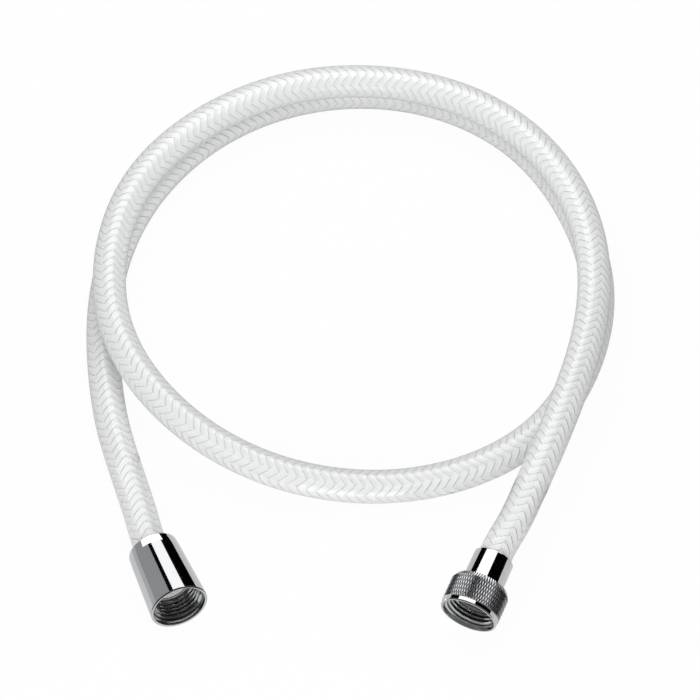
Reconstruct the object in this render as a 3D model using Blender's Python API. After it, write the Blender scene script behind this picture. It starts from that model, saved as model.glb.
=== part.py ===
"""Reinforced shower hose in an open coil of nearly two turns, with a conical nut and a knurled nut.

Metres, +Z up, lying on the plane z = 0. X runs to the right and Y away from the viewer.
Each end has its own frame: an empty at the centre of the nut's mouth, whose local +Z runs
along the axis into the hose. Every turned piece is drawn in that frame as (radius, depth).
"""

import math

import bmesh
import bpy
import numpy as np
from mathutils import Matrix, Vector

MM = 0.001

# Fits
CLEARANCE = 0.25 * MM  # between neighbouring pieces, and between a nut and what it turns on
TURNED_SIDES = 48
TURNED_SMOOTH_BELOW = 35.0  # degrees between two faces that are shaded as one
KNURL_SMOOTH_BELOW = 25.0

# Hose
HOSE_RADIUS = 7.0 * MM
HOSE_WALL = 2.75 * MM
HOSE_RINGS = 88
HOSE_BEVEL_STEPS = 4  # gives twelve sides

# Pipe thread G 1/2, the same in both nuts, and what seals on it
THREAD_MINOR_RADIUS = 9.32 * MM
WASHER_THICKNESS = 2.0 * MM
WASHER_BORE_RADIUS = 5.5 * MM
FLANGE_THICKNESS = 1.5 * MM

# Nipples
WATERWAY_RADIUS = 2.75 * MM
BARB_COUNT = 4
BARB_LENGTH = 2.8 * MM
BARB_RISE = 0.4 * MM
SPIGOT_RADIUS = 6.6 * MM  # neck on which the knurled nut turns

# Conical nut
CONE_NUT_LENGTH = 31.4 * MM
CONE_MOUTH_RADIUS = 12.24 * MM
CONE_WAIST_RADIUS = 10.84 * MM  # where the straight cone ends
CONE_BACK_RADIUS = 10.45 * MM
CONE_BACK_LENGTH = 5.1 * MM  # slightly bowed band between the straight cone and the back face
CONE_BACK_ROUND = 0.4 * MM
CONE_LIP_RADIUS = 11.1 * MM  # plain recess in front of the thread
CONE_LIP_DEPTH = 1.8 * MM
CONE_LIP_ROUND = 0.4 * MM
CONE_SOCKET_DEPTH = 12.5 * MM  # from the mouth to the washer

CONE_NECK_LENGTH = 1.9 * MM  # where the back wall closes around the hose

# Crimped sleeve hidden in the conical nut, as long as the nut leaves room for
SLEEVE_WALL = 1.0 * MM
SLEEVE_GROOVES = 2
SLEEVE_GROOVE_DEPTH = 0.25 * MM
SLEEVE_GROOVE_WIDTH = 1.6 * MM

# Knurled nut
KNURLED_NUT_LENGTH = 14.5 * MM
KNURL_RADIUS = 12.45 * MM
KNURL_DEPTH = 0.35 * MM
KNURL_COUNT = 72  # lozenges around
KNURL_ROWS = 5  # half lozenges along
RIM_LENGTH = 2.1 * MM  # plain band between the mouth and the knurl
RIM_RADIUS = 12.15 * MM
RIM_FACE_RADIUS = 11.75 * MM
RIM_ROUND = 0.4 * MM
MOUTH_CHAMFER_RADIUS = 11.25 * MM  # lead-in, slightly tapered
MOUTH_STEP_RADIUS = 10.85 * MM
MOUTH_STEP_DEPTH = 1.6 * MM
BACK_CHAMFER_LENGTH = 2.0 * MM
BACK_FACE_RADIUS = 11.3 * MM
KNURLED_SOCKET_DEPTH = 8.2 * MM

# Ferrule in sight behind the knurled nut
FERRULE_LENGTH = 13.1 * MM
FERRULE_FOOT_RADIUS = 8.55 * MM
FERRULE_END_RADIUS = 8.45 * MM
FERRULE_LIP = 1.2 * MM
FERRULE_ROUND = 0.4 * MM

# Where the two mouths lie, how far each end is turned from straight towards the viewer, and how
# far its mouth tilts up from level, which follows from the hose behind it
CONE_END_XY = (-69.54 * MM, -133.40 * MM)
CONE_END_TURN = math.radians(21.44)
CONE_END_TILT = math.radians(5.0)
KNURLED_END_XY = (47.58 * MM, -137.00 * MM)
KNURLED_END_TURN = math.radians(-23.02)
KNURLED_END_TILT = math.radians(-6.05)
STRAIGHT_RUN = 3.0 * MM  # of hose behind each fitting, before it starts to bend

# Route of the free hose, in millimetres, from the conical nut to the knurled nut
ROUTE = [
    (-85.9, -88.0, 8.9),
    (-89.5, -75.0, 7.9),
    (-94.1, -59.4, 7.3),
    (-99.3, -39.8, 7.1),
    (-102.8, -17.4, 7.0),
    (-104.3, 19.0, 7.0),
    (-96.3, 60.0, 7.0),
    (-75.8, 96.0, 7.0),
    (-43.8, 122.5, 7.0),
    (-4.3, 134.5, 7.0),
    (36.7, 129.5, 7.0),
    (71.7, 107.5, 7.0),
    (94.7, 72.0, 7.0),
    (104.7, 31.5, 7.0),
    (98.2, -9.5, 7.0),
    (76.7, -45.0, 7.1),
    (42.2, -66.0, 7.5),
    (0.2, -72.0, 9.3),
    (-40.8, -63.0, 13.5),
    (-74.8, -39.5, 18.0),
    (-96.8, -4.5, 21.0),
    (-101.3, 37.0, 21.4),
    (-89.8, 76.5, 21.4),
    (-62.8, 107.5, 21.4),
    (-24.8, 126.5, 21.4),
    (17.2, 129.0, 21.4),
    (56.2, 115.5, 21.4),
    (85.2, 87.0, 21.4),
    (100.7, 48.0, 21.4),
    (101.2, 6.5, 21.4),
    (90.7, -34.8, 21.4),
    (80.0, -64.0, 20.0),
    (71.8, -84.0, 18.4),
    (66.4, -96.0, 17.2),
]

# Sizes that follow from the ones above
WASHER_RADIUS = THREAD_MINOR_RADIUS - CLEARANCE
FLANGE_RADIUS = WASHER_RADIUS
HOSE_BORE_RADIUS = HOSE_RADIUS - HOSE_WALL
HOSE_FLAT_BORE = HOSE_BORE_RADIUS * math.cos(math.pi / (2 * HOSE_BEVEL_STEPS + 4))
BARB_RADIUS = HOSE_FLAT_BORE - CLEARANCE
GRIP_RADIUS = HOSE_RADIUS + CLEARANCE
SLEEVE_RADIUS = GRIP_RADIUS + SLEEVE_WALL

CONE_FLANGE_FRONT = CONE_SOCKET_DEPTH + WASHER_THICKNESS + CLEARANCE
CONE_LEDGE = CONE_FLANGE_FRONT + FLANGE_THICKNESS + CLEARANCE
CONE_HOSE_END = CONE_LEDGE
CONE_NECK_RADIUS = HOSE_RADIUS + CLEARANCE
CONE_ROOM_RADIUS = SLEEVE_RADIUS + CLEARANCE
CONE_NECK_START = CONE_NUT_LENGTH - CONE_NECK_LENGTH
SLEEVE_END = CONE_NECK_START - (CONE_ROOM_RADIUS - CONE_NECK_RADIUS) - CLEARANCE
SLEEVE_LENGTH = SLEEVE_END - CONE_HOSE_END

KNURLED_FLANGE_FRONT = KNURLED_SOCKET_DEPTH + WASHER_THICKNESS + CLEARANCE
KNURLED_LEDGE = KNURLED_FLANGE_FRONT + FLANGE_THICKNESS + CLEARANCE
FERRULE_FOOT = KNURLED_NUT_LENGTH + CLEARANCE
SPIGOT_END = FERRULE_FOOT + FERRULE_LIP + CLEARANCE
KNURLED_HOSE_END = SPIGOT_END + CLEARANCE
FERRULE_END = FERRULE_FOOT + FERRULE_LENGTH
KNURL_START = RIM_LENGTH + KNURL_DEPTH
KNURL_END = KNURLED_NUT_LENGTH - BACK_CHAMFER_LENGTH

# Outer outlines of the two nuts as (radius, depth), from the mouth to the back face
CONE_SKIN = [
    (CONE_MOUTH_RADIUS - CONE_LIP_ROUND, 0.0),
    (CONE_MOUTH_RADIUS - 0.3 * CONE_LIP_ROUND, 0.3 * CONE_LIP_ROUND),
    (CONE_MOUTH_RADIUS, CONE_LIP_ROUND),
    (CONE_WAIST_RADIUS, CONE_NUT_LENGTH - CONE_BACK_LENGTH),
    (0.35 * CONE_BACK_RADIUS + 0.65 * CONE_WAIST_RADIUS, CONE_NUT_LENGTH - 0.5 * CONE_BACK_LENGTH),
    (CONE_BACK_RADIUS, CONE_NUT_LENGTH - CONE_BACK_ROUND),
    (CONE_BACK_RADIUS - 0.3 * CONE_BACK_ROUND, CONE_NUT_LENGTH - 0.3 * CONE_BACK_ROUND),
    (CONE_BACK_RADIUS - CONE_BACK_ROUND, CONE_NUT_LENGTH),
]
KNURLED_SKIN = [
    (RIM_FACE_RADIUS, 0.0),
    (RIM_RADIUS, RIM_ROUND),
    (KNURL_RADIUS, KNURL_START),
    (KNURL_RADIUS, KNURL_END),
    (BACK_FACE_RADIUS, KNURLED_NUT_LENGTH),
]

for old in list(bpy.data.objects):
    bpy.data.objects.remove(old, do_unlink=True)


def material(name, colour, roughness, metallic):
    made = bpy.data.materials.new(name)
    made.use_nodes = True
    surface = made.node_tree.nodes["Principled BSDF"]
    surface.inputs["Base Color"].default_value = (*colour, 1.0)
    surface.inputs["Roughness"].default_value = roughness
    surface.inputs["Metallic"].default_value = metallic
    return made


def end_frame(name, xy, turn, tilt, outline):
    """Empty at a mouth, with local +Z along the axis into the hose, at the height where the nut rests."""
    frame = bpy.data.objects.new(name, None)
    frame.empty_display_size = 0.02
    height = max(radius * math.cos(tilt) + depth * math.sin(tilt) for radius, depth in outline)
    frame.location = (*xy, height)
    frame.rotation_euler = (-math.pi / 2 - tilt, 0.0, turn)
    bpy.context.scene.collection.objects.link(frame)
    return frame


def add_mesh(name, bm, frame, finish, smooth_below):
    bmesh.ops.recalc_face_normals(bm, faces=bm.faces)
    mesh = bpy.data.meshes.new(name)
    bm.to_mesh(mesh)
    bm.free()
    mesh.shade_smooth()
    mesh.set_sharp_from_angle(angle=math.radians(smooth_below))
    mesh.materials.append(finish)
    made = bpy.data.objects.new(name, mesh)
    made.parent = frame
    bpy.context.scene.collection.objects.link(made)
    return made


def turned(name, outline, frame, finish):
    """Closed outline of (radius, depth) turned about the local Z axis."""
    bm = bmesh.new()
    corners = [bm.verts.new((radius, 0.0, depth)) for radius, depth in outline]
    edges = [bm.edges.new((a, b)) for a, b in zip(corners, corners[1:] + corners[:1])]
    bmesh.ops.spin(
        bm,
        geom=corners + edges,
        cent=(0.0, 0.0, 0.0),
        axis=(0.0, 0.0, 1.0),
        angle=2 * math.pi,
        steps=TURNED_SIDES,
        use_merge=True,
    )
    return add_mesh(name, bm, frame, finish, TURNED_SMOOTH_BELOW)


def barbs(root_radius, tip_radius, start):
    """Saw teeth of a hose tail, from its shoulder to its tip."""
    outline = []
    for i in range(BARB_COUNT):
        foot = start + i * BARB_LENGTH
        outline.append((root_radius, foot))
        outline.append((tip_radius, foot + 0.3 * BARB_LENGTH))
        outline.append((root_radius, foot + 0.98 * BARB_LENGTH))
    return outline


def ring(bm, radius, depth, count):
    """Circle of points around the local Z axis."""
    points = []
    for i in range(count):
        turn = 2 * math.pi * i / count
        points.append(bm.verts.new((radius * math.cos(turn), radius * math.sin(turn), depth)))
    return points


def skin(bm, first, second):
    """Faces between two rings of as many points, or between one ring and another with twice as many."""
    if len(second) > len(first):
        first, second = second, first
    step = len(first) // len(second)
    for i in range(len(second)):
        following = (i + 1) % len(second)
        a = first[step * i]
        b = first[step * i + step - 1]
        c = first[(step * i + step) % len(first)]
        d = second[following]
        e = second[i]
        if step == 1:
            bm.faces.new((a, c, d, e))
        else:
            bm.faces.new((a, b, e))
            bm.faces.new((b, d, e))
            bm.faces.new((b, c, d))


def knurled_band(bm, start, end):
    """Lozenge knurl: a lattice of crossing grooves with a low pyramid between them."""
    columns = 2 * KNURL_COUNT
    lattice = []
    for row in range(KNURL_ROWS + 1):
        depth = start + (end - start) * row / KNURL_ROWS
        points = []
        for column in range(columns):
            in_groove = (row + column) % 2 == 0
            radius = KNURL_RADIUS - (KNURL_DEPTH if in_groove else 0.0)
            turn = 2 * math.pi * column / columns
            points.append(bm.verts.new((radius * math.cos(turn), radius * math.sin(turn), depth)))
        lattice.append(points)
    for row in range(KNURL_ROWS):
        for column in range(columns):
            beside = (column + 1) % columns
            a = lattice[row][column]
            b = lattice[row][beside]
            c = lattice[row + 1][beside]
            d = lattice[row + 1][column]
            if (row + column) % 2 == 0:
                bm.faces.new((a, b, c))
                bm.faces.new((a, c, d))
            else:
                bm.faces.new((a, b, d))
                bm.faces.new((b, c, d))
    return lattice[0], lattice[-1]


def smooth_route(points, start_way, end_way, count):
    """Points at even steps along a cubic spline through the route, leaving and arriving along the given ways."""
    knots = np.array(points)
    spans = np.linalg.norm(np.diff(knots, axis=0), axis=1)
    last = len(knots) - 1
    system = np.zeros((last + 1, last + 1))
    target = np.zeros((last + 1, 3))
    system[0, 0] = 1.0
    system[last, last] = 1.0
    target[0] = start_way
    target[last] = end_way
    for i in range(1, last):
        before = spans[i - 1]
        after = spans[i]
        system[i, i - 1] = 1 / before
        system[i, i] = 2 / before + 2 / after
        system[i, i + 1] = 1 / after
        target[i] = 3 * (knots[i] - knots[i - 1]) / before**2 + 3 * (knots[i + 1] - knots[i]) / after**2
    slopes = np.linalg.solve(system, target)
    steps = np.linspace(0.0, spans.sum(), count)
    starts = np.concatenate([[0.0], np.cumsum(spans)])
    found = []
    for step in steps:
        i = min(int(np.searchsorted(starts, step, side="right")) - 1, last - 1)
        u = (step - starts[i]) / spans[i]
        found.append(
            (1 + 2 * u) * (1 - u) ** 2 * knots[i]
            + u * (1 - u) ** 2 * spans[i] * slopes[i]
            + u**2 * (3 - 2 * u) * knots[i + 1]
            + u**2 * (u - 1) * spans[i] * slopes[i + 1]
        )
    return found


chrome = material("chrome", (0.80, 0.81, 0.82), 0.08, 1.0)
brass = material("brass", (0.72, 0.56, 0.28), 0.30, 1.0)
clear_over_white = material("braided_pvc", (0.84, 0.84, 0.85), 0.28, 0.0)
pale_seal = material("pale_seal", (0.62, 0.62, 0.62), 0.50, 0.0)
dark_seal = material("dark_seal", (0.06, 0.06, 0.06), 0.60, 0.0)

cone_end = end_frame("cone_end", CONE_END_XY, CONE_END_TURN, CONE_END_TILT, CONE_SKIN)
knurled_end = end_frame("knurled_end", KNURLED_END_XY, KNURLED_END_TURN, KNURLED_END_TILT, KNURLED_SKIN)
bpy.context.view_layer.update()

# Conical nut: recess, thread bore, ledge for the flange, room for the sleeve, neck around the hose
cone_outline = [
    (CONE_LIP_RADIUS, 0.0),
    *CONE_SKIN,
    (CONE_NECK_RADIUS, CONE_NUT_LENGTH),
    (CONE_NECK_RADIUS, CONE_NECK_START),
    (CONE_ROOM_RADIUS, SLEEVE_END + CLEARANCE),
    (CONE_ROOM_RADIUS, CONE_LEDGE),
    (THREAD_MINOR_RADIUS, CONE_LEDGE),
    (THREAD_MINOR_RADIUS, CONE_LIP_DEPTH + (CONE_LIP_RADIUS - THREAD_MINOR_RADIUS)),
    (CONE_LIP_RADIUS, CONE_LIP_DEPTH),
]
turned("cone_nut", cone_outline, cone_end, chrome)

# Knurled nut: the plain rings around the knurl, joined one to the next
bm = bmesh.new()
band_front, band_back = knurled_band(bm, KNURL_START, KNURL_END)
spigot_hole = SPIGOT_RADIUS + CLEARANCE
rings_behind = [
    (KNURL_RADIUS - KNURL_DEPTH, KNURL_END + 0.5 * KNURL_DEPTH),
    (BACK_FACE_RADIUS, KNURLED_NUT_LENGTH),
    (spigot_hole, KNURLED_NUT_LENGTH),
    (spigot_hole, KNURLED_LEDGE),
    (THREAD_MINOR_RADIUS, KNURLED_LEDGE),
    (THREAD_MINOR_RADIUS, MOUTH_STEP_DEPTH + (MOUTH_STEP_RADIUS - THREAD_MINOR_RADIUS)),
    (MOUTH_STEP_RADIUS, MOUTH_STEP_DEPTH),
    (MOUTH_CHAMFER_RADIUS, 0.0),
    (RIM_FACE_RADIUS, 0.0),
    (RIM_RADIUS, RIM_ROUND),
    (RIM_RADIUS, RIM_LENGTH),
]
previous = band_back
for radius, depth in rings_behind:
    following = ring(bm, radius, depth, KNURL_COUNT)
    skin(bm, previous, following)
    previous = following
skin(bm, previous, band_front)
add_mesh("knurled_nut", bm, knurled_end, chrome, KNURL_SMOOTH_BELOW)

# Washers
for name, frame, front, seal in (
    ("cone_nut_washer", cone_end, CONE_SOCKET_DEPTH, pale_seal),
    ("knurled_nut_washer", knurled_end, KNURLED_SOCKET_DEPTH, dark_seal),
):
    back = front + WASHER_THICKNESS
    washer_outline = [
        (WASHER_BORE_RADIUS, front),
        (WASHER_RADIUS, front),
        (WASHER_RADIUS, back),
        (WASHER_BORE_RADIUS, back),
    ]
    turned(name, washer_outline, frame, seal)

# Nipples: flange, then the tail whose barbs hold the hose
cone_flange_back = CONE_FLANGE_FRONT + FLANGE_THICKNESS
cone_tail_end = cone_flange_back + (BARB_COUNT + 0.4) * BARB_LENGTH
cone_nipple_outline = [
    (WATERWAY_RADIUS, CONE_FLANGE_FRONT),
    (FLANGE_RADIUS, CONE_FLANGE_FRONT),
    (FLANGE_RADIUS, cone_flange_back),
    *barbs(BARB_RADIUS - BARB_RISE, BARB_RADIUS, cone_flange_back),
    (BARB_RADIUS - BARB_RISE, cone_tail_end),
    (WATERWAY_RADIUS, cone_tail_end),
]
turned("cone_end_nipple", cone_nipple_outline, cone_end, brass)

knurled_tail_end = SPIGOT_END + (BARB_COUNT + 0.4) * BARB_LENGTH
knurled_nipple_outline = [
    (WATERWAY_RADIUS, KNURLED_FLANGE_FRONT),
    (FLANGE_RADIUS, KNURLED_FLANGE_FRONT),
    (FLANGE_RADIUS, KNURLED_FLANGE_FRONT + FLANGE_THICKNESS),
    (SPIGOT_RADIUS, KNURLED_FLANGE_FRONT + FLANGE_THICKNESS),
    (SPIGOT_RADIUS, SPIGOT_END),
    *barbs(BARB_RADIUS - BARB_RISE, BARB_RADIUS, SPIGOT_END),
    (BARB_RADIUS - BARB_RISE, knurled_tail_end),
    (WATERWAY_RADIUS, knurled_tail_end),
]
turned("knurled_end_nipple", knurled_nipple_outline, knurled_end, brass)

# Sleeve of the conical end, with its crimp grooves
grooves = []
for i in range(SLEEVE_GROOVES):
    middle = CONE_HOSE_END + SLEEVE_LENGTH * (i + 1) / (SLEEVE_GROOVES + 1)
    grooves.append((SLEEVE_RADIUS, middle - 0.5 * SLEEVE_GROOVE_WIDTH))
    grooves.append((SLEEVE_RADIUS - SLEEVE_GROOVE_DEPTH, middle - 0.2 * SLEEVE_GROOVE_WIDTH))
    grooves.append((SLEEVE_RADIUS - SLEEVE_GROOVE_DEPTH, middle + 0.2 * SLEEVE_GROOVE_WIDTH))
    grooves.append((SLEEVE_RADIUS, middle + 0.5 * SLEEVE_GROOVE_WIDTH))
sleeve_outline = [
    (GRIP_RADIUS, CONE_HOSE_END),
    (SLEEVE_RADIUS, CONE_HOSE_END),
    *grooves,
    (SLEEVE_RADIUS, SLEEVE_END),
    (GRIP_RADIUS, SLEEVE_END),
]
turned("cone_end_sleeve", sleeve_outline, cone_end, brass)

# Ferrule: its inward lip holds it on the spigot
ferrule_outline = [
    (spigot_hole, FERRULE_FOOT),
    (FERRULE_FOOT_RADIUS, FERRULE_FOOT),
    (FERRULE_END_RADIUS, FERRULE_END - FERRULE_ROUND),
    (FERRULE_END_RADIUS - 0.3 * FERRULE_ROUND, FERRULE_END - 0.3 * FERRULE_ROUND),
    (FERRULE_END_RADIUS - FERRULE_ROUND, FERRULE_END),
    (GRIP_RADIUS, FERRULE_END),
    (GRIP_RADIUS, FERRULE_FOOT + FERRULE_LIP),
    (spigot_hole, FERRULE_FOOT + FERRULE_LIP),
]
turned("knurled_end_ferrule", ferrule_outline, knurled_end, chrome)

# Hose: its two straight ends follow the fittings, and the rest follows the route
cone_way = cone_end.matrix_world.to_3x3() @ Vector((0.0, 0.0, 1.0))
knurled_way = knurled_end.matrix_world.to_3x3() @ Vector((0.0, 0.0, 1.0))
cone_start = cone_end.matrix_world @ Vector((0.0, 0.0, CONE_HOSE_END))
cone_bend = cone_end.matrix_world @ Vector((0.0, 0.0, CONE_NUT_LENGTH + STRAIGHT_RUN))
knurled_bend = knurled_end.matrix_world @ Vector((0.0, 0.0, FERRULE_END + STRAIGHT_RUN))
knurled_start = knurled_end.matrix_world @ Vector((0.0, 0.0, KNURLED_HOSE_END))
free_points = [tuple(cone_bend)]
for x, y, z in ROUTE:
    free_points.append((x * MM, y * MM, z * MM))
free_points.append(tuple(knurled_bend))
centres = [
    tuple(cone_start),
    *smooth_route(free_points, cone_way, -knurled_way, HOSE_RINGS - 2),
    tuple(knurled_start),
]
line = bpy.data.curves.new("hose", "CURVE")
line.dimensions = "3D"
line.twist_mode = "MINIMUM"
line.bevel_depth = HOSE_RADIUS
line.bevel_resolution = HOSE_BEVEL_STEPS
line.use_fill_caps = False
path = line.splines.new("POLY")
path.points.add(len(centres) - 1)
for point, centre in zip(path.points, centres):
    point.co = (*centre, 1.0)
line.materials.append(clear_over_white)
hose = bpy.data.objects.new("hose", line)
bpy.context.scene.collection.objects.link(hose)
wall = hose.modifiers.new("wall", "SOLIDIFY")
wall.thickness = HOSE_WALL
wall.offset = -1.0
wall.use_even_offset = True
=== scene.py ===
"""Looks of the reinforced shower hose: braided tube, conical nut, knurled nut, ferrule, seals and floor.

Metres, +Z up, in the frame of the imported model. Each end of the hose has its own frame, whose +Z
runs from the centre of the nut's mouth along the axis into the hose. Turned pieces are drawn there
as (radius, depth).
"""

import math

import bmesh
import bpy
import numpy as np
from mathutils import Euler, Matrix, Vector


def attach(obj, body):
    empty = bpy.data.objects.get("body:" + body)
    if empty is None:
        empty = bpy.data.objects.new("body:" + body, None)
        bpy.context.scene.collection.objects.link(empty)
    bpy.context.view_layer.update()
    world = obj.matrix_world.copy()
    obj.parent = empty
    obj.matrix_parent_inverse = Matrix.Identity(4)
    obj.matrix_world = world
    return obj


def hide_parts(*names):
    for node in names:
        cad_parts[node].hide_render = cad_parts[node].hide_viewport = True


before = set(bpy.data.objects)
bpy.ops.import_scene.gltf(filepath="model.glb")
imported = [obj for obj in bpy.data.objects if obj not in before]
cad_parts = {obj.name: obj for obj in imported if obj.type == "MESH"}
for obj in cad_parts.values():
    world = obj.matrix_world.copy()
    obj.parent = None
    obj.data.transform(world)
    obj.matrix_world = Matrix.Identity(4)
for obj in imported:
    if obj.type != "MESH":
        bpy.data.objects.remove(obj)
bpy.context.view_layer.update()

MM = 0.001

# Hose and where its ends lie
HOSE_RADIUS = 7.0 * MM
HOSE_BORE_RADIUS = 4.25 * MM
HOSE_SIDES = 40
HOSE_BORE_SIDES = 20
HOSE_RINGS = 1000
STRAIGHT_RUN = 3.0 * MM
CONE_END = (-69.54 * MM, -133.40 * MM, 13.177 * MM)
CONE_TURN = math.radians(21.44)
CONE_TILT = math.radians(5.0)
KNURLED_END = (47.58 * MM, -137.00 * MM, 12.122 * MM)
KNURLED_TURN = math.radians(-23.02)
KNURLED_TILT = math.radians(-6.05)

# Depths from each mouth
CONE_LENGTH = 31.4 * MM
CONE_SOCKET = 12.5 * MM
CONE_LEDGE = 16.5 * MM
KNURLED_LENGTH = 14.5 * MM
KNURLED_SOCKET = 8.2 * MM
KNURLED_LEDGE = 12.2 * MM
KNURLED_HOSE_END = 16.45 * MM
FERRULE_FOOT = 14.75 * MM
FERRULE_END = 27.85 * MM

# Pipe thread in both nuts
THREAD_PITCH = 1.814 * MM
THREAD_MINOR = 9.32 * MM
THREAD_MAJOR = 10.48 * MM

# Knurl
KNURL_COUNT = 72
KNURL_START = 2.45 * MM
KNURL_END = 12.5 * MM
KNURL_RADIUS = 12.45 * MM
KNURL_DEPTH = 0.27 * MM
KNURL_HALF_ROW = 2.01 * MM
KNURL_CREST = 0.50  # of the way from one groove to the next

# Braid under the clear cover
BRAID_YARNS = 10  # each way round
BRAID_LEAD = 3.9 * MM  # along the hose, from one yarn to the next
YARN_LIP = 0.34 * MM  # how far a yarn's raised edge stands above its sunk one
YARN_LIP_START = 0.40  # of the way across a yarn
YARN_LIP_TOP = 0.86
YARN_PAINTED_SHADE = (0.95, 0.97)  # where the painted shade, a darker colour beside the raised edge, is full
YARN_DIVE = 0.12  # of the stretch where it lies over two others

# Light levels
FLOOR_WHITE_SHARE = 0.95
FLOOR_NEAR_ENDS = 0.66  # as mirrored, up to the first of these distances from an end
FLOOR_FAR = 0.43  # and from the second on
FLOOR_DISTANCES = (0.045, 0.11)
WORLD_LEVEL = 0.62
WORLD_RIGHT = -0.10
WORLD_BACK = -0.22
WORLD_MIRRORED = 0.16
PANEL_LEVEL = 2.4
FRONT_LEVEL = 3.0
TOP_LAMP_LEVEL = 0.9
LAMP_LEVEL = 2.7

# Light cards by the ends
CARD_DISTANCE = 50.0 * MM
CARD_REACH = 68.0 * MM  # how far away a surface may be and still mirror them
SHEET_FROM = 45.0 * MM  # how far away a surface must be to mirror the sheet in front

# Route of the free hose, from the conical nut to the knurled nut
ROUTE = [
    (-0.0859, -0.0880, 0.0089),
    (-0.0895, -0.0750, 0.0079),
    (-0.0941, -0.0594, 0.0073),
    (-0.0993, -0.0398, 0.0071),
    (-0.1028, -0.0174, 0.0070),
    (-0.1043, 0.0190, 0.0070),
    (-0.0963, 0.0600, 0.0070),
    (-0.0758, 0.0960, 0.0070),
    (-0.0438, 0.1225, 0.0070),
    (-0.0043, 0.1345, 0.0070),
    (0.0367, 0.1295, 0.0070),
    (0.0717, 0.1075, 0.0070),
    (0.0947, 0.0720, 0.0070),
    (0.1047, 0.0315, 0.0070),
    (0.0982, -0.0095, 0.0070),
    (0.0767, -0.0450, 0.0071),
    (0.0422, -0.0660, 0.0075),
    (0.0002, -0.0720, 0.0093),
    (-0.0408, -0.0630, 0.0135),
    (-0.0748, -0.0395, 0.0180),
    (-0.0968, -0.0045, 0.0210),
    (-0.1013, 0.0370, 0.0214),
    (-0.0898, 0.0765, 0.0214),
    (-0.0628, 0.1075, 0.0214),
    (-0.0248, 0.1265, 0.0214),
    (0.0172, 0.1290, 0.0214),
    (0.0562, 0.1155, 0.0214),
    (0.0852, 0.0870, 0.0214),
    (0.1007, 0.0480, 0.0214),
    (0.1012, 0.0065, 0.0214),
    (0.0907, -0.0348, 0.0214),
    (0.0800, -0.0640, 0.0200),
    (0.0718, -0.0840, 0.0184),
    (0.0664, -0.0960, 0.0172),
]


def end_frame(place, turn, tilt):
    """Matrix from an end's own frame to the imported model's."""
    return Matrix.Translation(place) @ Euler((-math.pi / 2 - tilt, 0.0, turn)).to_matrix().to_4x4()


CONE_FRAME = end_frame(CONE_END, CONE_TURN, CONE_TILT)
KNURLED_FRAME = end_frame(KNURLED_END, KNURLED_TURN, KNURLED_TILT)


# Camera


def place_camera():
    """Long lens looking down at 55 degrees, as the photograph was taken."""
    lens = bpy.data.cameras.new("camera")
    lens.lens = 273.9
    lens.sensor_width = 36.0
    lens.clip_start = 0.05
    lens.clip_end = 20.0
    camera = bpy.data.objects.new("camera", lens)
    camera.location = (-0.0003, -1.28755, 1.84309)
    camera.rotation_euler = (math.radians(35.0), 0.0, 0.0)
    bpy.context.scene.collection.objects.link(camera)
    bpy.context.scene.camera = camera


# Node trees


def add(tree, kind, *values, out=0, **settings):
    """Adds a node and gives back one of its outputs. Each value is a number, a colour, a socket or None."""
    node = tree.nodes.new(kind)
    for name, value in settings.items():
        setattr(node, name, value)
    for socket, value in zip(node.inputs, values):
        if isinstance(value, bpy.types.NodeSocket):
            tree.links.new(value, socket)
        elif value is not None:
            socket.default_value = value
    return node.outputs[out]


def sums(tree, operation, *values):
    return add(tree, "ShaderNodeMath", *values, operation=operation)


def finish_nodes(name):
    """New material with its surface shader, and the tree that holds it."""
    made = bpy.data.materials.new(name)
    made.use_nodes = True
    return made, made.node_tree, made.node_tree.nodes["Principled BSDF"]


def grain(tree, place, scale, detail=2.0, rough=0.5):
    """Noise between 0 and 1."""
    noise = tree.nodes.new("ShaderNodeTexNoise")
    noise.inputs["Scale"].default_value = scale
    noise.inputs["Detail"].default_value = detail
    noise.inputs["Roughness"].default_value = rough
    tree.links.new(place, noise.inputs["Vector"])
    return noise.outputs["Fac"]


def ranged(tree, value, low, high, to_low, to_high):
    """Value carried from one range to another, held at both ends."""
    node = tree.nodes.new("ShaderNodeMapRange")
    tree.links.new(value, node.inputs["Value"])
    for name, number in (("From Min", low), ("From Max", high), ("To Min", to_low), ("To Max", to_high)):
        node.inputs[name].default_value = number
    return node.outputs["Result"]


def relief(tree, height, distance, strength, over=None):
    bump = tree.nodes.new("ShaderNodeBump")
    bump.inputs["Distance"].default_value = distance
    bump.inputs["Strength"].default_value = strength
    tree.links.new(height, bump.inputs["Height"])
    if over is not None:
        tree.links.new(over, bump.inputs["Normal"])
    return bump.outputs["Normal"]


def object_place(tree):
    return add(tree, "ShaderNodeTexCoord", out=3)


# Finishes


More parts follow.
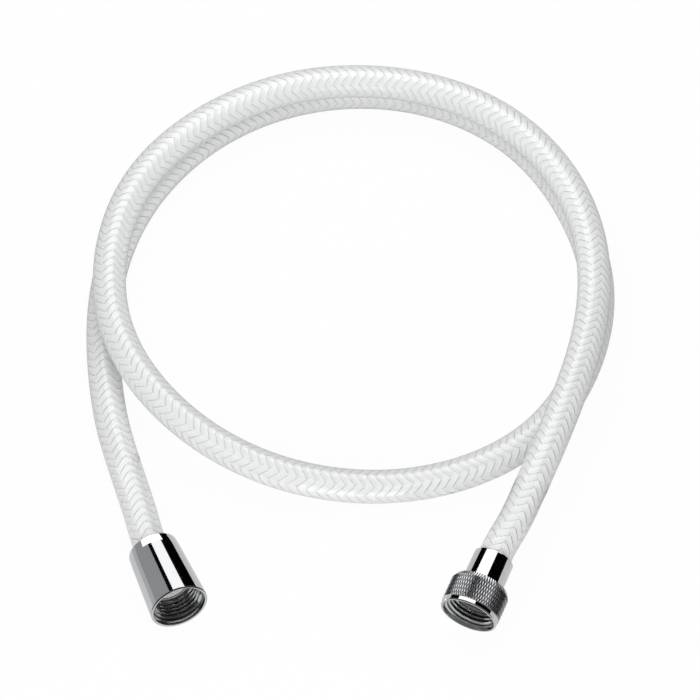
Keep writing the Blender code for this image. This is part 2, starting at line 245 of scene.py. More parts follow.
def braided_cover():
    """White flat yarns crossing two over two under a clear glossy cover, with painted shade: a darker colour beside
    each raised yarn edge.
    """
    made, tree, surface = finish_nodes("braid_under_clear_cover")
    along_and_round = add(tree, "ShaderNodeUVMap", uv_map="along_and_round")
    split = tree.nodes.new("ShaderNodeSeparateXYZ")
    tree.links.new(along_and_round, split.inputs[0])
    along, around = split.outputs[0], split.outputs[1]
    steps = sums(tree, "DIVIDE", along, BRAID_LEAD)
    turns = sums(tree, "MULTIPLY", around, float(BRAID_YARNS))
    one_way = sums(tree, "SUBTRACT", steps, turns)
    other_way = sums(tree, "MULTIPLY", sums(tree, "ADD", steps, turns), -1.0)
    lips = []
    painted_shade_strips = []
    for way, crossing, start in ((one_way, other_way, 0.0), (other_way, one_way, 1.0)):
        across = sums(tree, "FRACT", way)
        place = sums(tree, "ADD", sums(tree, "FLOOR", way), crossing)
        passed = sums(tree, "FRACT", sums(tree, "MULTIPLY", place, 0.25))
        over = sums(tree, "SUBTRACT", sums(tree, "MULTIPLY", passed, 2.0), start)
        to_end = sums(tree, "MINIMUM", over, sums(tree, "SUBTRACT", 1.0, over))
        shown = ranged(tree, to_end, 0.0, YARN_DIVE, 0.0, 1.0)
        rise = ranged(tree, across, YARN_LIP_START, YARN_LIP_TOP, 0.0, 1.0)
        lip = sums(tree, "MINIMUM", rise, ranged(tree, across, YARN_LIP_TOP, 1.0, 1.0, 0.0))
        lips.append(sums(tree, "MULTIPLY", lip, shown))
        # Painted shade: a strip of darker colour beside each raised edge, where the groove would lie in shadow
        painted_shade_strip = sums(
            tree,
            "MINIMUM",
            ranged(tree, across, YARN_LIP_TOP, YARN_PAINTED_SHADE[0], 0.0, 1.0),
            ranged(tree, across, YARN_PAINTED_SHADE[1], 1.0, 1.0, 0.3),
        )
        painted_shade_strips.append(sums(tree, "MULTIPLY", painted_shade_strip, shown))
    height = sums(tree, "ADD", *lips)
    painted_edge_shade = sums(tree, "MAXIMUM", *painted_shade_strips)
    cloudy = grain(tree, object_place(tree), 90.0, 3.0)
    mixing = tree.nodes.new("ShaderNodeMix")
    mixing.data_type = "RGBA"
    # The second colour is the painted shade beside the raised yarn edges
    mixing.inputs[6].default_value = (0.80, 0.805, 0.81, 1.0)
    mixing.inputs[7].default_value = (0.66, 0.665, 0.67, 1.0)
    tree.links.new(sums(tree, "MULTIPLY", painted_edge_shade, ranged(tree, cloudy, 0.3, 0.7, 0.75, 1.0)), mixing.inputs[0])
    tree.links.new(mixing.outputs[2], surface.inputs["Base Color"])
    tree.links.new(relief(tree, height, YARN_LIP, 1.0), surface.inputs["Normal"])
    tree.links.new(ranged(tree, cloudy, 0.3, 0.7, 0.26, 0.34), surface.inputs["Roughness"])
    surface.inputs["Specular IOR Level"].default_value = 0.25
    surface.inputs["Coat Weight"].default_value = 1.0
    surface.inputs["Coat Roughness"].default_value = 0.03
    surface.inputs["Coat IOR"].default_value = 1.5
    waves = grain(tree, along_and_round, 160.0, 2.0)
    tree.links.new(relief(tree, waves, 0.02 * MM, 0.2), surface.inputs["Coat Normal"])
    return made


def polished_chrome():
    """Bright plating with faint polishing haze and handling marks, duller down in grooves, with painted shade there
    as a near-black colour.
    """
    made, tree, surface = finish_nodes("polished_chrome")
    place = object_place(tree)
    haze = grain(tree, place, 260.0, 3.0)
    marks = grain(tree, place, 1800.0, 2.0)
    surface.inputs["Metallic"].default_value = 1.0
    mixing = tree.nodes.new("ShaderNodeMix")
    mixing.data_type = "RGBA"
    mixing.inputs[6].default_value = (0.80, 0.81, 0.82, 1.0)
    mixing.inputs[7].default_value = (0.74, 0.75, 0.765, 1.0)
    tree.links.new(haze, mixing.inputs[0])
    sunk = add(tree, "ShaderNodeAttribute", out=2, attribute_name="sunk")
    # Painted shade: the colour goes near black the deeper a point lies in a knurl or thread groove
    painted_groove_shade = tree.nodes.new("ShaderNodeMix")
    painted_groove_shade.data_type = "RGBA"
    tree.links.new(ranged(tree, sunk, 0.25, 0.9, 0.0, 1.0), painted_groove_shade.inputs[0])
    tree.links.new(mixing.outputs[2], painted_groove_shade.inputs[6])
    painted_groove_shade.inputs[7].default_value = (0.07, 0.07, 0.075, 1.0)
    tree.links.new(painted_groove_shade.outputs[2], surface.inputs["Base Color"])
    smooth = ranged(tree, haze, 0.3, 0.75, 0.045, 0.085)
    tree.links.new(sums(tree, "ADD", smooth, ranged(tree, sunk, 0.0, 0.35, 0.0, 0.26)), surface.inputs["Roughness"])
    tree.links.new(relief(tree, marks, 0.004 * MM, 0.25), surface.inputs["Normal"])
    return made


def turned_brass():
    """Brass as it comes off the lathe, with a cloudy tone and a fine grain."""
    made, tree, surface = finish_nodes("turned_brass")
    place = object_place(tree)
    cloudy = grain(tree, place, 300.0, 3.0)
    surface.inputs["Metallic"].default_value = 1.0
    mixing = tree.nodes.new("ShaderNodeMix")
    mixing.data_type = "RGBA"
    mixing.inputs[6].default_value = (0.72, 0.56, 0.28, 1.0)
    mixing.inputs[7].default_value = (0.60, 0.44, 0.20, 1.0)
    tree.links.new(cloudy, mixing.inputs[0])
    tree.links.new(mixing.outputs[2], surface.inputs["Base Color"])
    tree.links.new(ranged(tree, cloudy, 0.3, 0.7, 0.24, 0.38), surface.inputs["Roughness"])
    tree.links.new(relief(tree, grain(tree, place, 2600.0, 1.0), 0.01 * MM, 0.4), surface.inputs["Normal"])
    return made


def seal_rubber(name, colour, dusty):
    """Moulded rubber with a fine matt grain."""
    made, tree, surface = finish_nodes(name)
    place = object_place(tree)
    cloudy = grain(tree, place, 400.0, 4.0)
    mixing = tree.nodes.new("ShaderNodeMix")
    mixing.data_type = "RGBA"
    mixing.inputs[6].default_value = (*colour, 1.0)
    mixing.inputs[7].default_value = (*dusty, 1.0)
    tree.links.new(cloudy, mixing.inputs[0])
    tree.links.new(mixing.outputs[2], surface.inputs["Base Color"])
    tree.links.new(ranged(tree, cloudy, 0.3, 0.7, 0.45, 0.65), surface.inputs["Roughness"])
    tree.links.new(relief(tree, grain(tree, place, 3000.0, 2.0), 0.03 * MM, 0.5), surface.inputs["Normal"])
    return made


# Turned pieces


def turned_mesh(outline, sides, marked=(), poked=None):
    """Closed outline turned about +Z.

    marked gives (flag, radius from, radius to, depth from, depth to) of points that carry a flag.
    poked gives (radius from, depth from, depth to) of faces that get a point in their middle.
    """
    bm = bmesh.new()
    flags = {name: bm.verts.layers.float.new(name) for name, _, _, _, _ in marked}
    rings = []
    for radius, depth in outline:
        ring = []
        for i in range(sides):
            turn = 2 * math.pi * i / sides
            point = bm.verts.new((radius * math.cos(turn), radius * math.sin(turn), depth))
            for name, inner, outer, start, end in marked:
                if inner <= radius <= outer and start <= depth <= end:
                    point[flags[name]] = 1.0
            ring.append(point)
        rings.append(ring)
    poking = []
    for first, second, (radius, depth), (next_radius, next_depth) in zip(
        rings, rings[1:] + rings[:1], outline, outline[1:] + outline[:1]
    ):
        for i in range(sides):
            j = (i + 1) % sides
            face = bm.faces.new((first[i], first[j], second[j], second[i]))
            if poked and min(radius, next_radius) >= poked[0] and poked[1] <= min(depth, next_depth):
                if max(depth, next_depth) <= poked[2]:
                    poking.append(face)
    if poking:
        bmesh.ops.poke(bm, faces=poking)
    bmesh.ops.recalc_face_normals(bm, faces=bm.faces)
    return bm


def rounded(corner, before, after, reach, steps=4):
    """Points of a small arc that takes a corner's place, from the side of one neighbour to the other's."""
    corner, before, after = Vector(corner), Vector(before), Vector(after)
    start = corner + (before - corner).normalized() * reach
    end = corner + (after - corner).normalized() * reach
    points = []
    for i in range(steps + 1):
        t = i / steps
        points.append(tuple(start.lerp(corner, t).lerp(corner.lerp(end, t), t)))
    return points


def softened(corners):
    """Closed outline from (radius, depth, reach of the rounding) corners."""
    outline = []
    count = len(corners)
    for i, (radius, depth, reach) in enumerate(corners):
        if reach == 0.0:
            outline.append((radius, depth))
            continue
        before = corners[i - 1][:2]
        after = corners[(i + 1) % count][:2]
        outline.extend(rounded((radius, depth), before, after, reach))
    return outline


def spaced(radius_a, depth_a, radius_b, depth_b, count):
    """Points at even steps strictly between two ends."""
    return [
        (radius_a + (radius_b - radius_a) * i / count, depth_a + (depth_b - depth_a) * i / count)
        for i in range(1, count)
    ]


def as_object(name, bm_or_mesh, finish, smooth_below):
    if isinstance(bm_or_mesh, bmesh.types.BMesh):
        mesh = bpy.data.meshes.new(name)
        bm_or_mesh.to_mesh(mesh)
        bm_or_mesh.free()
    else:
        mesh = bm_or_mesh
    mesh.shade_smooth()
    mesh.set_sharp_from_angle(angle=math.radians(smooth_below))
    mesh.materials.clear()
    mesh.materials.append(finish)
    made = bpy.data.objects.new(name, mesh)
    bpy.context.scene.collection.objects.link(made)
    return made


# Repeating forms as geometry nodes


def shaping_tree(name, numbers, finish, shape):
    """Tree that gives each flagged point a new radius about +Z and how deep in a groove it lies, from 0 to 1."""
    tree = bpy.data.node_groups.new(name, "GeometryNodeTree")
    tree.interface.new_socket("Body", in_out="INPUT", socket_type="NodeSocketGeometry")
    for label, value in numbers:
        made = tree.interface.new_socket(label, in_out="INPUT", socket_type="NodeSocketFloat")
        made.default_value = value
    tree.interface.new_socket("Body", in_out="OUTPUT", socket_type="NodeSocketGeometry")
    given = tree.nodes.new("NodeGroupInput")
    place = add(tree, "GeometryNodeInputPosition")
    split = tree.nodes.new("ShaderNodeSeparateXYZ")
    tree.links.new(place, split.inputs[0])
    x, y, depth = split.outputs
    radius = sums(tree, "SQRT", sums(tree, "ADD", sums(tree, "MULTIPLY", x, x), sums(tree, "MULTIPLY", y, y)))
    turn = sums(tree, "DIVIDE", sums(tree, "ARCTAN2", y, x), 2 * math.pi)
    flag = add(tree, "GeometryNodeInputNamedAttribute", name, data_type="FLOAT")
    new_radius, sunk = shape(tree, given.outputs, radius, turn, depth)
    scale = sums(tree, "DIVIDE", new_radius, radius)
    moved = add(
        tree, "ShaderNodeCombineXYZ", sums(tree, "MULTIPLY", x, scale), sums(tree, "MULTIPLY", y, scale), depth
    )
    chosen = add(tree, "FunctionNodeCompare", flag, 0.5, data_type="FLOAT", operation="GREATER_THAN")
    placed = add(tree, "GeometryNodeSetPosition", given.outputs[0], chosen, moved)
    keeping = tree.nodes.new("GeometryNodeStoreNamedAttribute")
    keeping.data_type = "FLOAT"
    keeping.domain = "POINT"
    keeping.inputs["Name"].default_value = "sunk"
    value = next(socket for socket in keeping.inputs if socket.name == "Value" and socket.enabled)
    tree.links.new(placed, keeping.inputs["Geometry"])
    tree.links.new(chosen, keeping.inputs["Selection"])
    tree.links.new(sunk, value)
    whole = add(tree, "GeometryNodeRealizeInstances", keeping.outputs[0])
    dressed = add(tree, "GeometryNodeSetMaterial", whole, None, finish)
    leaving = tree.nodes.new("NodeGroupOutput")
    tree.links.new(dressed, leaving.inputs[0])
    return tree


def shaped(name, bm, steps, finish, smooth_below, into):
    """Runs shaping trees over a turned mesh and gives back a plain object in its end's place."""
    mesh = bpy.data.meshes.new(name)
    bm.to_mesh(mesh)
    bm.free()
    for tree, sizes in steps:
        rough = bpy.data.objects.new(name + "_blank", mesh)
        bpy.context.scene.collection.objects.link(rough)
        modifier = rough.modifiers.new("shape", "NODES")
        modifier.node_group = tree
        for item in tree.interface.items_tree:
            if item.item_type == "SOCKET" and item.in_out == "INPUT" and item.name in sizes:
                modifier[item.identifier] = sizes[item.name]
        bpy.context.view_layer.update()
        graph = bpy.context.evaluated_depsgraph_get()
        mesh = bpy.data.meshes.new_from_object(rough.evaluated_get(graph), depsgraph=graph)
        rough.modifiers.remove(modifier)
        bpy.data.objects.remove(rough)
    mesh.name = name
    mesh.transform(into)
    return as_object(name, mesh, finish, smooth_below)


def thread_radius(tree, given, radius, turn, depth):
    """Helical V groove with flattened crests, which fades at its far end and cuts into the lead-in."""
    pitch, minor, major, end = given["Pitch"], given["Minor radius"], given["Major radius"], given["End"]
    along = sums(tree, "SUBTRACT", sums(tree, "DIVIDE", depth, pitch), turn)
    phase = sums(tree, "FRACT", sums(tree, "ADD", along, 9.0))
    tooth = sums(tree, "ABSOLUTE", sums(tree, "SUBTRACT", sums(tree, "MULTIPLY", phase, 2.0), 1.0))
    profile = ranged(tree, tooth, 0.08, 0.90, 0.0, 1.0)
    fading = sums(tree, "MINIMUM", sums(tree, "DIVIDE", sums(tree, "SUBTRACT", end, depth), pitch), 1.0)
    faded = sums(tree, "MULTIPLY", profile, sums(tree, "MAXIMUM", fading, 0.0))
    groove = sums(tree, "ADD", minor, sums(tree, "MULTIPLY", faded, sums(tree, "SUBTRACT", major, minor)))
    return sums(tree, "MAXIMUM", groove, radius), faded


def knurl_radius(tree, given, radius, turn, depth):
    """Two sets of V grooves crossing at a steep angle, which leave small pointed lozenges."""
    steps = sums(
        tree, "DIVIDE", sums(tree, "SUBTRACT", depth, given["Start"]), sums(tree, "MULTIPLY", given["Half row"], 2.0)
    )
    round_count = sums(tree, "MULTIPLY", turn, given["Count"])
    nearest = []
    for operation in ("ADD", "SUBTRACT"):
        phase = sums(tree, "FRACT", sums(tree, "ADD", sums(tree, operation, round_count, steps), 500.0))
        nearest.append(sums(tree, "MINIMUM", phase, sums(tree, "SUBTRACT", 1.0, phase)))
    rise = ranged(tree, sums(tree, "MINIMUM", *nearest), 0.0, KNURL_CREST, 0.0, 1.0)
    sunk = sums(tree, "SUBTRACT", 1.0, rise)
    return sums(tree, "SUBTRACT", radius, sums(tree, "MULTIPLY", sunk, given["Depth"])), sunk


def conical_nut(chrome):
    """Smooth conical swivel nut, with a recess and thread in its mouth."""
    room = 8.5 * MM
    neck = 7.25 * MM
    lead_in_end = 3.58 * MM
    skin = [
        (11.10 * MM, 0.0, 0.12 * MM),
        (12.24 * MM, 0.0, 0.38 * MM),
        (10.84 * MM, 26.2 * MM, 0.0),
        (10.84 * MM, 26.3 * MM, 0.0),
        (10.42 * MM, CONE_LENGTH, 0.34 * MM),
        (neck, CONE_LENGTH, 0.3 * MM),
        (neck, 29.5 * MM, 0.0),
        (room, 28.25 * MM, 0.0),
        (room, CONE_LEDGE, 0.0),
        (THREAD_MINOR, CONE_LEDGE, 0.0),
    ]
    outline = softened(skin)
    bore_rows = 68
    bore_end = 13.0 * MM
    outline.append((THREAD_MINOR, bore_end))
    outline += spaced(THREAD_MINOR, bore_end, THREAD_MINOR, lead_in_end, bore_rows)
    outline.append((THREAD_MINOR, lead_in_end))
    outline += spaced(THREAD_MINOR, lead_in_end, 11.10 * MM, 1.8 * MM, 12)
    outline.append((11.10 * MM, 1.8 * MM))
    bm = turned_mesh(outline, 192, marked=[("thread", 9.0 * MM, 11.05 * MM, 1.82 * MM, 12.4 * MM)])
    return shaped(
        "conical_nut",
        bm,
        [(thread_tree, {"End": 12.4 * MM})],
        chrome,
        30.0,
        CONE_FRAME,
    )


def knurled_swivel_nut(chrome):
    """Swivel nut with a plain rim, a lozenge knurl and a bevelled back."""
    spigot_hole = 6.85 * MM
    floor = KNURL_RADIUS - KNURL_DEPTH
    skin = [
        (11.25 * MM, 0.0, 0.10 * MM),
        (11.95 * MM, 0.0, 0.22 * MM),
        (12.15 * MM, 0.45 * MM, 0.20 * MM),
        (12.15 * MM, 2.0 * MM, 0.06 * MM),
        (KNURL_RADIUS, KNURL_START, 0.0),
    ]
    outline = softened(skin)
    outline += spaced(KNURL_RADIUS, KNURL_START, KNURL_RADIUS, KNURL_END, 20)
    outline.append((KNURL_RADIUS, KNURL_END))
    outline += softened(
        [
            (11.35 * MM, 14.42 * MM, 0.0),
            (11.1 * MM, KNURLED_LENGTH, 0.0),
            (spigot_hole, KNURLED_LENGTH, 0.0),
            (spigot_hole, KNURLED_LEDGE, 0.0),
            (THREAD_MINOR, KNURLED_LEDGE, 0.0),
            (THREAD_MINOR, 9.0 * MM, 0.0),
        ]
    )
    lead_in_end = 3.13 * MM
    outline += spaced(THREAD_MINOR, 9.0 * MM, THREAD_MINOR, lead_in_end, 36)
    outline.append((THREAD_MINOR, lead_in_end))
    outline += spaced(THREAD_MINOR, lead_in_end, 10.85 * MM, 1.6 * MM, 10)
    outline.append((10.85 * MM, 1.6 * MM))
    bm = turned_mesh(
        outline,
        576,
        marked=[
            ("thread", 9.0 * MM, 10.84 * MM, 1.62 * MM, 8.4 * MM),
            ("knurl", floor, 12.6 * MM, KNURL_START - 0.01 * MM, KNURL_END + 0.01 * MM),
        ],
        poked=(floor, KNURL_START - 0.01 * MM, KNURL_END + 0.01 * MM),
    )
    return shaped(
        "knurled_swivel_nut",
        bm,
        [(thread_tree, {"End": 8.4 * MM}), (knurl_tree, {})],
        chrome,
        24.0,
        KNURLED_FRAME,
    )


def crimped_ferrule(chrome):
    """Plain chromed ferrule behind the knurled nut."""
    corners = [
        (6.85 * MM, FERRULE_FOOT, 0.0),
        (8.55 * MM, FERRULE_FOOT, 0.15 * MM),
        (8.45 * MM, FERRULE_END, 0.42 * MM),
        (7.25 * MM, FERRULE_END, 0.15 * MM),
        (7.25 * MM, FERRULE_FOOT + 1.2 * MM, 0.0),
        (6.85 * MM, FERRULE_FOOT + 1.2 * MM, 0.0),
    ]
    bm = turned_mesh(softened(corners), 160)
    bm.transform(KNURLED_FRAME)
    return as_object("crimped_ferrule", bm, chrome, 35.0)


def sealing_washer(name, front, into, finish):
    """Flat rubber washer with rounded edges and a raised sealing ring on its face."""
    back = front + 2.0 * MM
    corners = [
        (5.5 * MM, front, 0.15 * MM),
        (6.9 * MM, front, 0.0),
        (7.1 * MM, front + 0.12 * MM, 0.0),
        (7.5 * MM, front + 0.12 * MM, 0.0),
        (7.7 * MM, front, 0.0),
        (9.07 * MM, front, 0.25 * MM),
        (9.07 * MM, back, 0.25 * MM),
        (5.5 * MM, back, 0.15 * MM),
    ]
    bm = turned_mesh(softened(corners), 128)
    bm.transform(into)
    return as_object(name, bm, finish, 35.0)


# Hose


def smooth_route(points, start_way, end_way, count):
    """Points at even steps along a cubic spline through the route, leaving and arriving along given ways."""
    knots = np.array(points)
    spans = np.linalg.norm(np.diff(knots, axis=0), axis=1)
    last = len(knots) - 1
    system = np.zeros((last + 1, last + 1))
    target = np.zeros((last + 1, 3))
    system[0, 0] = 1.0
    system[last, last] = 1.0
    target[0] = start_way
    target[last] = end_way
    for i in range(1, last):
        before = spans[i - 1]
        after = spans[i]
        system[i, i - 1] = 1 / before
        system[i, i] = 2 / before + 2 / after
        system[i, i + 1] = 1 / after
        target[i] = 3 * (knots[i] - knots[i - 1]) / before**2 + 3 * (knots[i + 1] - knots[i]) / after**2
    slopes = np.linalg.solve(system, target)
    starts = np.concatenate([[0.0], np.cumsum(spans)])
    found = []
    for step in np.linspace(0.0, spans.sum(), count):
        i = min(int(np.searchsorted(starts, step, side="right")) - 1, last - 1)
        u = (step - starts[i]) / spans[i]
        found.append(
            (1 + 2 * u) * (1 - u) ** 2 * knots[i]
            + u * (1 - u) ** 2 * spans[i] * slopes[i]
            + u**2 * (3 - 2 * u) * knots[i + 1]
            + u**2 * (u - 1) * spans[i] * slopes[i + 1]
        )
    return np.array(found)


def even_steps(points, count):
    """The same line in steps of equal length."""
    lengths = np.concatenate([[0.0], np.cumsum(np.linalg.norm(np.diff(points, axis=0), axis=1))])
    wanted = np.linspace(0.0, lengths[-1], count)
    return np.column_stack([np.interp(wanted, lengths, points[:, k]) for k in range(3)]), lengths[-1]


def hose_line():
    """Centreline from inside the conical nut to inside the knurled nut."""
    cone_way = CONE_FRAME.to_3x3() @ Vector((0.0, 0.0, 1.0))
    knurled_way = KNURLED_FRAME.to_3x3() @ Vector((0.0, 0.0, 1.0))
    start = CONE_FRAME @ Vector((0.0, 0.0, CONE_LEDGE))
    first = CONE_FRAME @ Vector((0.0, 0.0, CONE_LENGTH + STRAIGHT_RUN))
    last = KNURLED_FRAME @ Vector((0.0, 0.0, FERRULE_END + STRAIGHT_RUN))
    end = KNURLED_FRAME @ Vector((0.0, 0.0, KNURLED_HOSE_END))
    free = smooth_route([tuple(first), *ROUTE, tuple(last)], cone_way, -knurled_way, 1500)
    return even_steps(np.vstack([[tuple(start)], free, [tuple(end)]]), HOSE_RINGS)


def hose_tube(line, length, finish):
    """Tube with a bore, whose map runs along the hose in metres and once around it."""
    ways = np.gradient(line, axis=0)
    ways /= np.linalg.norm(ways, axis=1)[:, None]
    side = np.cross(ways[0], (0.0, 0.0, 1.0))
    sides = []
    for way in ways:
        side = side - way * (side @ way)
        side = side / np.linalg.norm(side)
        sides.append(side)
    bm = bmesh.new()
    mapping = bm.loops.layers.uv.new("along_and_round")
    walls = []
    for radius, count in ((HOSE_RADIUS, HOSE_SIDES), (HOSE_BORE_RADIUS, HOSE_BORE_SIDES)):
        rings = []
        for centre, way, across in zip(line, ways, sides):
            up = np.cross(way, across)
            ring = []
            for i in range(count):
                turn = 2 * math.pi * i / count
                ring.append(bm.verts.new(centre + radius * (across * math.cos(turn) + up * math.sin(turn))))
            rings.append(ring)
        walls.append(rings)
    for outside, rings in zip((True, False), walls):
        count = len(rings[0])
        for row in range(len(rings) - 1):
            for i in range(count):
                j = (i + 1) % count
                corners = [rings[row][i], rings[row][j], rings[row + 1][j], rings[row + 1][i]]
                places = [(row, i), (row, i + 1), (row + 1, i + 1), (row + 1, i)]
                if not outside:
                    corners.reverse()
                    places.reverse()
                face = bm.faces.new(corners)
                for loop, (at, around) in zip(face.loops, places):
                    loop[mapping].uv = (length * at / (len(rings) - 1), around / count)
    for row, flipped in ((0, True), (-1, False)):
        outer = walls[0][row]
        inner = walls[1][row]
        for i in range(len(inner)):
            j = (i + 1) % len(inner)
            corners = [outer[2 * i], outer[2 * i + 1], outer[(2 * i + 2) % len(outer)], inner[j], inner[i]]
            if flipped:
                corners.reverse()
            face = bm.faces.new(corners)
            for loop in face.loops:
                loop[mapping].uv = (0.0 if row == 0 else length, 0.0)
    return as_object("reinforced_hose", bm, finish, 50.0)


# Floor and light


def white_floor():
    """Pale floor that stays white to the eye and keeps a faint shadow. What mirrors it sees it dimmer further out."""
    bm = bmesh.new()
    corners = [bm.verts.new((x * 6.0, y * 6.0, -0.0002)) for x, y in ((-1, -1), (1, -1), (1, 1), (-1, 1))]
    bm.faces.new(corners)
    made, tree, surface = finish_nodes("white_floor")
    surface.inputs["Base Color"].default_value = (0.88, 0.88, 0.88, 1.0)
    surface.inputs["Roughness"].default_value = 0.9
    surface.inputs["Specular IOR Level"].default_value = 0.1
    path = tree.nodes.new("ShaderNodeLightPath")
    seen = add(tree, "ShaderNodeEmission", (1.0, 1.0, 1.0, 1.0), 1.0)
    nearest = []
    for end in (CONE_FRAME, KNURLED_FRAME):
        middle = end @ Vector((0.0, 0.0, 15.0 * MM))
        away = add(tree, "ShaderNodeVectorMath", object_place(tree), tuple(middle), operation="DISTANCE", out=1)
        nearest.append(ranged(tree, away, *FLOOR_DISTANCES, FLOOR_NEAR_ENDS, FLOOR_FAR))
    mirrored = add(tree, "ShaderNodeEmission", (1.0, 1.0, 1.0, 1.0), sums(tree, "MAXIMUM", *nearest))
    direct = sums(tree, "MAXIMUM", path.outputs["Is Camera Ray"], path.outputs["Is Transmission Ray"])
    first = tree.nodes.new("ShaderNodeMixShader")
    tree.links.new(path.outputs["Is Glossy Ray"], first.inputs[0])
    tree.links.new(surface.outputs[0], first.inputs[1])
    tree.links.new(mirrored, first.inputs[2])
    second = tree.nodes.new("ShaderNodeMixShader")
    tree.links.new(sums(tree, "MULTIPLY", direct, FLOOR_WHITE_SHARE), second.inputs[0])
    tree.links.new(first.outputs[0], second.inputs[1])
    tree.links.new(seen, second.inputs[2])
    tree.links.new(second.outputs[0], tree.nodes["Material Output"].inputs["Surface"])
    floor = as_object("floor", bm, made, 30.0)
    return floor


def studio_world():
    """White to the eye, dim to a mirror, and an even light with a little more from the left and the front."""
    world = bpy.data.worlds.new("studio")
    bpy.context.scene.world = world
    world.use_nodes = True
    tree = world.node_tree
    tree.nodes.clear()
    path = tree.nodes.new("ShaderNodeLightPath")
    scattered = sums(tree, "MINIMUM", path.outputs["Diffuse Depth"], 1.0)
    mirrored = sums(tree, "MULTIPLY", path.outputs["Is Glossy Ray"], sums(tree, "SUBTRACT", 1.0, scattered))
    split = tree.nodes.new("ShaderNodeSeparateXYZ")
    tree.links.new(add(tree, "ShaderNodeTexCoord", out=0), split.inputs[0])
    x, y = split.outputs[0], split.outputs[1]
    even = sums(tree, "ADD", sums(tree, "MULTIPLY", x, WORLD_RIGHT), WORLD_LEVEL)
    even = sums(tree, "MAXIMUM", sums(tree, "ADD", sums(tree, "MULTIPLY", y, WORLD_BACK), even), 0.0)
    level = sums(
        tree,
        "ADD",
        sums(tree, "MULTIPLY", sums(tree, "SUBTRACT", 1.0, mirrored), even),
        sums(tree, "MULTIPLY", mirrored, WORLD_MIRRORED),
    )
    strength = sums(tree, "MAXIMUM", level, path.outputs["Is Camera Ray"])
    back = add(tree, "ShaderNodeBackground", (1.0, 1.0, 1.0, 1.0), strength)
    leaving = tree.nodes.new("ShaderNodeOutputWorld")
    tree.links.new(back, leaving.inputs[0])


def glowing(name, radiance, one_sided, beyond=0.0):
    """Plain glow. A one-sided one shows only from its front and nearby, another only from beyond a distance."""
    made, tree, surface = finish_nodes(name)
    tree.nodes.remove(surface)
    glow = add(tree, "ShaderNodeEmission", (1.0, 1.0, 1.0, 1.0), radiance)
    if one_sided:
        behind = tree.nodes.new("ShaderNodeNewGeometry").outputs["Backfacing"]
        path = tree.nodes.new("ShaderNodeLightPath")
        far_off = sums(tree, "GREATER_THAN", path.outputs["Ray Length"], CARD_REACH)
        scattered = sums(tree, "ADD", path.outputs["Diffuse Depth"], far_off)
        clear = add(tree, "ShaderNodeBsdfTransparent", (1.0, 1.0, 1.0, 1.0))
        mixing = tree.nodes.new("ShaderNodeMixShader")
        hidden = sums(tree, "MINIMUM", sums(tree, "ADD", behind, scattered), 1.0)
        tree.links.new(hidden, mixing.inputs[0])
        tree.links.new(glow, mixing.inputs[1])
        tree.links.new(clear, mixing.inputs[2])
        glow = mixing.outputs[0]
    elif beyond > 0.0:
        path = tree.nodes.new("ShaderNodeLightPath")
        mixing = tree.nodes.new("ShaderNodeMixShader")
        tree.links.new(sums(tree, "LESS_THAN", path.outputs["Ray Length"], beyond), mixing.inputs[0])
        tree.links.new(glow, mixing.inputs[1])
        tree.links.new(add(tree, "ShaderNodeBsdfTransparent", (1.0, 1.0, 1.0, 1.0)), mixing.inputs[2])
        glow = mixing.outputs[0]
    tree.links.new(glow, tree.nodes["Material Output"].inputs["Surface"])
    return made


def reflector(name, corners, radiance, lights=False, towards=None, beyond=0.0):
    """Card that polished surfaces mirror. Only where lights is true does it light the object as well."""
    mesh = bpy.data.meshes.new(name)
    rows = len(corners)
    columns = len(corners[0])
    points = [Vector(point) for row in corners for point in row]
    faces = []
    for i in range(rows - 1):
        for j in range(columns - 1):
            a = i * columns + j
            face = (a, a + 1, a + columns + 1, a + columns)
            if towards is not None:
                way = (points[face[1]] - points[face[0]]).cross(points[face[2]] - points[face[1]])
                if way.dot(towards - points[face[0]]) < 0.0:
                    face = face[::-1]
            faces.append(face)
    mesh.from_pydata([tuple(point) for point in points], [], faces)
    mesh.materials.append(glowing(name, radiance, towards is not None, beyond))
    card = bpy.data.objects.new(name, mesh)
    bpy.context.scene.collection.objects.link(card)
    card.visible_camera = False
    card.visible_diffuse = lights
    card.visible_shadow = False
    card.visible_transmission = False
    card.visible_volume_scatter = False
    return card


def soft_lamp(name, place, aim, width, height, radiance):
    """Area lamp that no mirror shows."""
    lamp = bpy.data.lights.new(name, "AREA")
    lamp.shape = "RECTANGLE"
    lamp.size = width
    lamp.size_y = height
    lamp.energy = radiance * math.pi * width * height
    holder = bpy.data.objects.new(name, lamp)
    holder.location = place
    holder.rotation_euler = (Vector(place) - Vector(aim)).to_track_quat("Z", "Y").to_euler()
    holder.visible_glossy = False
    bpy.context.scene.collection.objects.link(holder)


def curved_card(name, into, depth, lean, swing, radiance):
    """Card curved around an end's axis. lean and swing are spans in degrees: away from the axis, and around it."""
    centre = into @ Vector((0.0, 0.0, depth))
    turn = into.to_3x3()
    rows = []
    for i in range(9):
        away = math.radians(lean[0] + (lean[1] - lean[0]) * i / 8)
        row = []
        for j in range(17):
            around = math.radians(swing[0] + (swing[1] - swing[0]) * j / 16)
            way = Vector((math.sin(away) * math.sin(around), -math.sin(away) * math.cos(around), math.cos(away)))
            row.append(centre + turn @ way * CARD_DISTANCE)
        rows.append(row)
    return reflector(name, rows, radiance, towards=centre)


bpy.context.scene.view_settings.view_transform = "Standard"
place_camera()
braid = braided_cover()
chrome = polished_chrome()
brass = turned_brass()
pale_seal = seal_rubber("pale_seal_rubber", (0.78, 0.78, 0.78), (0.68, 0.68, 0.67))
dark_seal = seal_rubber("dark_seal_rubber", (0.05, 0.05, 0.05), (0.09, 0.09, 0.09))

line, hose_length = hose_line()
hose = hose_tube(line, hose_length, braid)

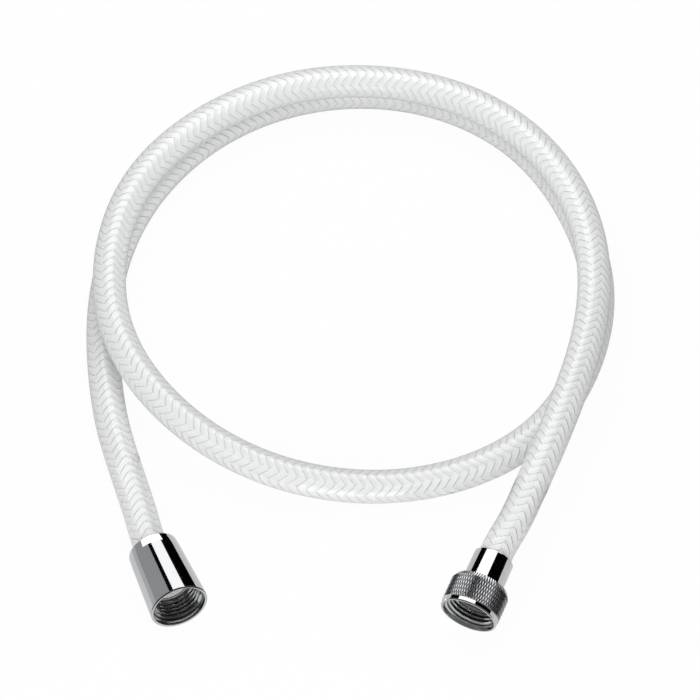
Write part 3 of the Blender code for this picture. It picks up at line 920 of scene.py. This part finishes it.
thread_tree = shaping_tree(
    "thread",
    [("Pitch", THREAD_PITCH), ("Minor radius", THREAD_MINOR), ("Major radius", THREAD_MAJOR), ("End", 12.0 * MM)],
    chrome,
    thread_radius,
)
knurl_tree = shaping_tree(
    "knurl",
    [("Count", float(KNURL_COUNT)), ("Start", KNURL_START), ("Half row", KNURL_HALF_ROW), ("Depth", KNURL_DEPTH)],
    chrome,
    knurl_radius,
)
cone_nut = conical_nut(chrome)
knurled_nut = knurled_swivel_nut(chrome)
ferrule = crimped_ferrule(chrome)
cone_washer = sealing_washer("conical_nut_seal", CONE_SOCKET, CONE_FRAME, pale_seal)
knurled_washer = sealing_washer("knurled_nut_seal", KNURLED_SOCKET, KNURLED_FRAME, dark_seal)

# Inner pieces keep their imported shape
for node in ("cone_end_nipple", "cone_end_sleeve", "knurled_end_nipple"):
    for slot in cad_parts[node].material_slots:
        slot.material = brass

for piece, body, node, finish in (
    (hose, "hose_and_fittings", "hose", "hose_wall"),
    (cone_nut, "cone_nut", "cone_nut", "chrome"),
    (knurled_nut, "knurled_nut", "knurled_nut", "chrome"),
    (ferrule, "hose_and_fittings", "knurled_end_ferrule", "chrome"),
    (cone_washer, "hose_and_fittings", "cone_nut_washer", "pale_seal"),
    (knurled_washer, "hose_and_fittings", "knurled_nut_washer", "dark_seal"),
):
    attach(piece, body)
    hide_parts(node)

white_floor()
studio_world()

# Overhead panel, slightly turned, a low front one, and a sheet on the floor between that and the coil
panel = [[(-0.245, 0.205, 0.42), (0.218, -0.010, 0.42)], [(-0.245, 0.42, 0.42), (0.085, 0.44, 0.42)]]
reflector("overhead_panel", panel, PANEL_LEVEL, lights=True)
front = [[(-0.33, -1.0, 0.0), (0.33, -1.0, 0.0)], [(-0.33, -1.0, 0.27), (0.33, -1.0, 0.27)]]
reflector("front_panel", front, FRONT_LEVEL)
sheet = [[(-0.028, -0.107, 0.0004), (0.028, -0.107, 0.0004)], [(-0.33, -1.0, 0.0004), (0.33, -1.0, 0.0004)]]
reflector("front_sheet", sheet, FRONT_LEVEL, beyond=SHEET_FROM)

soft_lamp("top_lamp", (0.0, 0.20, 0.46), (0.0, 0.0, 0.0), 0.38, 0.38, TOP_LAMP_LEVEL)
soft_lamp("front_lamp", (-0.06, -0.42, 0.24), (0.0, 0.0, 0.0), 0.34, 0.22, LAMP_LEVEL)

# Cards around the conical nut: upper ones for its long cone, lower ones for its back band, one before its mouth
for name, lean, swing, radiance in (
    ("cone_card_low_left", (12.0, 104.0), (-104.0, -81.1), 0.46),
    ("cone_card_low_right", (12.0, 104.0), (80.4, 104.0), 0.62),
    ("cone_card_left", (55.4, 104.0), (-81.1, -20.3), 0.31),
    ("cone_card_gap", (55.4, 104.0), (-20.3, -6.1), 0.0),
    ("cone_card_white", (55.4, 104.0), (-6.1, 33.6), 1.18),
    ("cone_card_right", (55.4, 104.0), (33.6, 80.4), 0.0),
    ("band_card_left", (12.0, 55.4), (-82.2, -42.9), 0.31),
    ("band_card_white", (12.0, 55.4), (-42.9, 44.6), 1.6),
    ("band_card_right", (12.0, 55.4), (44.6, 81.8), 0.0),
    ("cone_mouth_card", (118.0, 178.0), (-100.0, 100.0), 0.03),
    ("cone_mouth_card_low", (140.0, 180.0), (100.0, 260.0), 0.03),
):
    curved_card(name, CONE_FRAME, 28.5 * MM, lean, swing, radiance)

# Cards around the knurled nut and its ferrule, then those for the nut's bevelled back, and one before its mouth
for name, lean, swing, radiance in (
    ("ferrule_card_low_left", (44.0, 104.0), (-104.0, -79.8), 0.60),
    ("ferrule_card_low_right", (44.0, 104.0), (81.5, 104.0), 0.62),
    ("ferrule_card_left", (44.0, 104.0), (-79.8, -43.9), 0.0),
    ("ferrule_card_white", (44.0, 104.0), (-43.9, 15.4), 1.4),
    ("ferrule_card_right", (44.0, 104.0), (15.4, 81.5), 0.0),
    ("bevel_card_left", (10.0, 44.0), (-125.0, -30.0), 0.0),
    ("bevel_card_white", (10.0, 44.0), (-30.0, 45.0), 1.4),
    ("bevel_card_right", (10.0, 44.0), (45.0, 130.0), 0.0),
    ("knurled_mouth_card", (118.0, 178.0), (-100.0, 100.0), 0.12),
    ("knurled_mouth_card_low", (130.0, 180.0), (100.0, 260.0), 0.12),
):
    curved_card(name, KNURLED_FRAME, 18.0 * MM, lean, swing, radiance)
